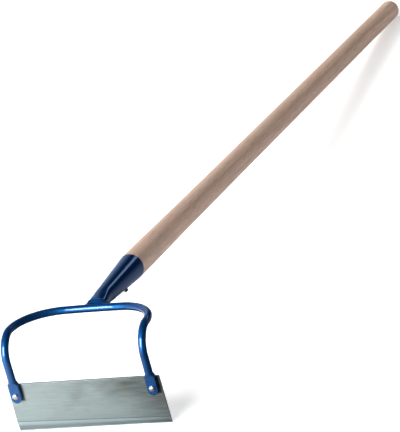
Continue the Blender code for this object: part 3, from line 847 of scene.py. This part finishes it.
seat = blade_top + down * RIVET_DROP
placed = wiring.node(
    "GeometryNodeTransform",
    {},
    {"Geometry": placed, "Translation": seat, "Rotation": (LEAN, 0.0, 0.0)},
)
real = wiring.node("GeometryNodeRealizeInstances", {}, [placed])
# The snap's marks, only inward
dents = wiring.node(
    "ShaderNodeTexNoise", {"noise_dimensions": "3D"}, {"Scale": SNAP_CELLS, "Detail": 0.0}
) - INWARD
marks = wiring.node(
    "ShaderNodeVectorMath",
    {"operation": "SCALE"},
    {"Vector": wiring.node("GeometryNodeInputNormal"), "Scale": dents * given["Hammering"]},
)
shape = wiring.node("GeometryNodeSetPosition", {}, {"Geometry": real, "Offset": marks})
finish_tree(wiring, shape, given)
rivets = grow("zinc_rivets", wiring, RIVET, zinc)
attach(rivets, "root")
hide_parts("rivet_left", "rivet_right")

# THE NAIL
# A short steel nail through the socket's wall keeps the tenon from drawing out. Its zinc head stands
# proud low on the right, where the socket is thick enough to hold it.
NAIL_STATION = 0.0660
NAIL_TURN = radians(54.0)
NAIL_RADIUS = 0.0017
NAIL_LENGTH = 0.0170
NAIL_POINT = 0.0035
NAIL_HEAD = 0.0028
NAIL_RIM = 0.0009
NAIL_CROWN = 0.0013
NAIL_BREAK = 0.0001
NAIL_SIDES = 40
NAIL_STEPS = 12
radial = Vector((cos(NAIL_TURN), 0.0, -sin(NAIL_TURN)))
outward = radial * cos(socket_taper) + Vector((0.0, -sin(socket_taper), 0.0))
foot = Vector((0.0, NAIL_STATION, socket_middle(NAIL_STATION)))
foot = radial * socket_radius(NAIL_STATION) + foot
# Radius and height from the point of the nail to the top of its head
outline = [
    (0.0, -NAIL_LENGTH),
    (NAIL_RADIUS, -NAIL_LENGTH + NAIL_POINT),
    (NAIL_RADIUS, SEAT),
    (NAIL_HEAD - NAIL_BREAK, SEAT),
    (NAIL_HEAD, SEAT + NAIL_BREAK),
]
ball = (NAIL_HEAD ** 2 + NAIL_CROWN ** 2) / (2.0 * NAIL_CROWN)
sweep = asin(NAIL_HEAD / ball)
for step in range(NAIL_STEPS + 1):
    angle = sweep * (1.0 - step / NAIL_STEPS)
    outline.append((ball * sin(angle), SEAT + NAIL_RIM + NAIL_CROWN - ball + ball * cos(angle)))
bm = bmesh.new()
rings = []
for radius, height in outline:
    ring = []
    for side in range(NAIL_SIDES):
        angle = 2.0 * pi * side / NAIL_SIDES
        ring.append(bm.verts.new((radius * cos(angle), radius * sin(angle), height)))
    rings.append(ring)
skin(bm, rings)
bmesh.ops.remove_doubles(bm, verts=bm.verts, dist=SAME_POINT)
bm.transform(Matrix.Translation(foot) @ outward.to_track_quat("Z", "Y").to_matrix().to_4x4())
nail = into_place("zinc_nail", bm)
nail.data.materials.append(zinc)
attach(nail, "root")
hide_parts("socket_nail")

# THE TABLE
# The hoe lies on a plain white table. A glowing dome, paler at the left and with one bright strip,
# stands round the room, and a glowing card lies under the tool and to its right. Only reflections
# show both: their glow is painted reflection, with painted light and painted shadow on the card.
TABLE_SIZE = 24.0
TABLE_WHITE = 0.86
TABLE_GLOW = 0.50
bpy.ops.mesh.primitive_plane_add(size=TABLE_SIZE, location=(0.0, 0.0, 0.0))
floor = bpy.context.object
floor.name = "table"


def seen_rays(wiring):
    """1 where a thing is looked at, straight or as a reflection, and 0 where it lights others."""
    rays = wiring.node("ShaderNodeLightPath").socket.node.outputs
    seen = Flow(wiring, rays["Is Camera Ray"])
    for kind in ("Is Glossy Ray", "Is Transmission Ray"):
        seen = seen.maths("MAXIMUM", Flow(wiring, rays[kind]))
    return seen


def only_mirrored(name):
    """Name the newest object and let only reflections see it; gives it, its wiring and shader."""
    thing = bpy.context.object
    thing.name = name
    for look in ("visible_camera", "visible_diffuse", "visible_shadow", "visible_transmission"):
        setattr(thing, look, False)
    finish, wiring, shader = new_finish(name)
    shader.inputs["Base Color"].default_value = (0.0, 0.0, 0.0, 1.0)
    shader.inputs["Specular IOR Level"].default_value = 0.0
    thing.data.materials.append(finish)
    return thing, wiring, shader


white, wiring, shader = new_finish("white table")
shader.inputs["Base Color"].default_value = (TABLE_WHITE, TABLE_WHITE, TABLE_WHITE, 1.0)
shader.inputs["Roughness"].default_value = 0.9
shader.inputs["Specular IOR Level"].default_value = 0.1
shader.inputs["Emission Color"].default_value = (1.0, 1.0, 1.0, 1.0)
wiring.feed(shader.inputs["Emission Strength"], seen_rays(wiring) * TABLE_GLOW)
floor.data.materials.append(white)

# Places on the dome are counted in its radius: to the right, to the back and up
CLOTH_RADIUS = 12.0
bpy.ops.mesh.primitive_uv_sphere_add(
    segments=64, ring_count=32, radius=CLOTH_RADIUS, location=(0.0, 0.0, 0.0)
)
painted_reflection_dome, wiring, shader = only_mirrored("glowing dome, painted reflections")
place = wiring.node("ShaderNodeTexCoord", {}, (), "Object")
side, depth, rise = (part / CLOTH_RADIUS for part in wiring.parts(place))
# The dome's glow is painted reflection: one bright strip, a paler band at the left, a faint ceiling
# and a glow near the horizon, over near black
strip = between(rise, 0.405, 0.420) * (1.0 - between(rise, 0.485, 0.500))
strip = strip * between(depth, 0.6, 0.8) * between(side, 0.0, 0.08)
painted_pale_left_band = between(side * -1.0, 0.10, 0.46) * (1.0 - between(rise, 0.57, 0.68))
ceiling = between(rise, 0.5, 0.9)
horizon = 1.0 - between(rise, 0.05, 0.10)
glow = 0.006 + strip * 2.2 + painted_pale_left_band * 0.80 + ceiling * 0.12 + horizon * 0.25
shader.inputs["Emission Color"].default_value = (0.52, 0.74, 1.0, 1.0)
wiring.feed(shader.inputs["Emission Strength"], glow)

# Places on the card are in metres from the tool: to the right and to the back
CARD_SIZE = 24.0
CARD_MIDDLE = 11.88
CARD_RISE = 0.001
CARD_WHITE = (1.0, 1.0, 1.0)
CARD_PAINTED_SHADOW_BLUE = (0.62, 0.78, 1.0)
bpy.ops.mesh.primitive_plane_add(size=CARD_SIZE, location=(CARD_MIDDLE, 0.0, CARD_RISE))
painted_reflection_card, wiring, shader = only_mirrored("glowing card, painted reflections")
place = wiring.node("ShaderNodeTexCoord", {}, (), "Object")
side, depth = wiring.parts(place)[:2]
side = side + CARD_MIDDLE
# The card's glow is painted reflection: a lit table in front fading to the right, a dark blue-tinted
# painted shadow under the tool from the blade back past the bow, and a dimmer table behind that
# fades further back
painted_light_in_front = 0.05 + between(side, 0.12, -0.10) * 1.10
painted_dim_behind = 0.44 - between(depth, -0.20, 0.60) * 0.22
painted_shadow_below_bow = between(depth, -0.68, -0.64)
past_bow = between(depth, -0.42, -0.38)
glow = painted_light_in_front * (1.0 - painted_shadow_below_bow) + (0.05 * painted_shadow_below_bow) * (1.0 - past_bow) + painted_dim_behind * past_bow
tint = layered(wiring, CARD_WHITE, (painted_shadow_below_bow, CARD_PAINTED_SHADOW_BLUE))
wiring.feed(shader.inputs["Emission Color"], tint)
wiring.feed(shader.inputs["Emission Strength"], glow)

# THE LIGHT AND THE CAMERA
# A wide soft box stands in front, a little to the left, and two weak fills lift the two sides of the
# handle. The camera stands in front too, over three metres off and to the right, with a long lens.
ROOM_LIGHT = 0.06
world = bpy.data.worlds.new("room")
bpy.context.scene.world = world
world.use_nodes = True
wiring = Wiring(world.node_tree)
background = world.node_tree.nodes["Background"]
background.inputs["Color"].default_value = (1.0, 1.0, 1.0, 1.0)
brightness = ROOM_LIGHT + seen_rays(wiring) * (1.0 - ROOM_LIGHT)
wiring.feed(background.inputs["Strength"], brightness)


def soft_light(name, aim, toward, distance, width, height, power):
    """A soft box that shines on a spot of the hoe from a direction."""
    lamp = bpy.data.lights.new(name, "AREA")
    lamp.shape = "RECTANGLE"
    lamp.size = width
    lamp.size_y = height
    lamp.energy = power
    stand = bpy.data.objects.new(name, lamp)
    direction = Vector(toward).normalized()
    stand.location = Vector(aim) + direction * distance
    stand.rotation_euler = direction.to_track_quat("Z", "Y").to_euler()
    stand.visible_camera = False
    bpy.context.scene.collection.objects.link(stand)
    return stand


soft_light(
    "front soft box",
    aim=(0.0, -0.45, 0.08),
    toward=(-0.32, -0.89, 0.37),
    distance=6.0,
    width=4.2,
    height=3.8,
    power=850.0,
)
for name, toward, height, power in (
    ("left fill", (-0.69, 0.1, 0.72), 2.0, 85.0),
    ("right fill", (0.95, 0.0, 0.06), 0.5, 30.0),
):
    fill = soft_light(
        name,
        aim=(0.0, 0.3, 0.08),
        toward=toward,
        distance=4.0,
        width=2.0,
        height=height,
        power=power,
    )
    fill.visible_glossy = False

FILM_SIDE = 36.0
PICTURE_PIXELS = 432.0
FOCAL_PIXELS = 3040.0
camera = bpy.data.cameras.new("photograph")
camera.sensor_width = FILM_SIDE
camera.lens = FOCAL_PIXELS * FILM_SIDE / PICTURE_PIXELS
camera.clip_end = 50.0
viewer = bpy.data.objects.new("photograph", camera)
viewer.location = (1.08945302, -3.22685537, 1.14364833)
viewer.rotation_euler = (1.23695673, 0.18560788, 0.28606816)
bpy.context.scene.collection.objects.link(viewer)
bpy.context.scene.camera = viewer
bpy.context.scene.view_settings.view_transform = "Standard"
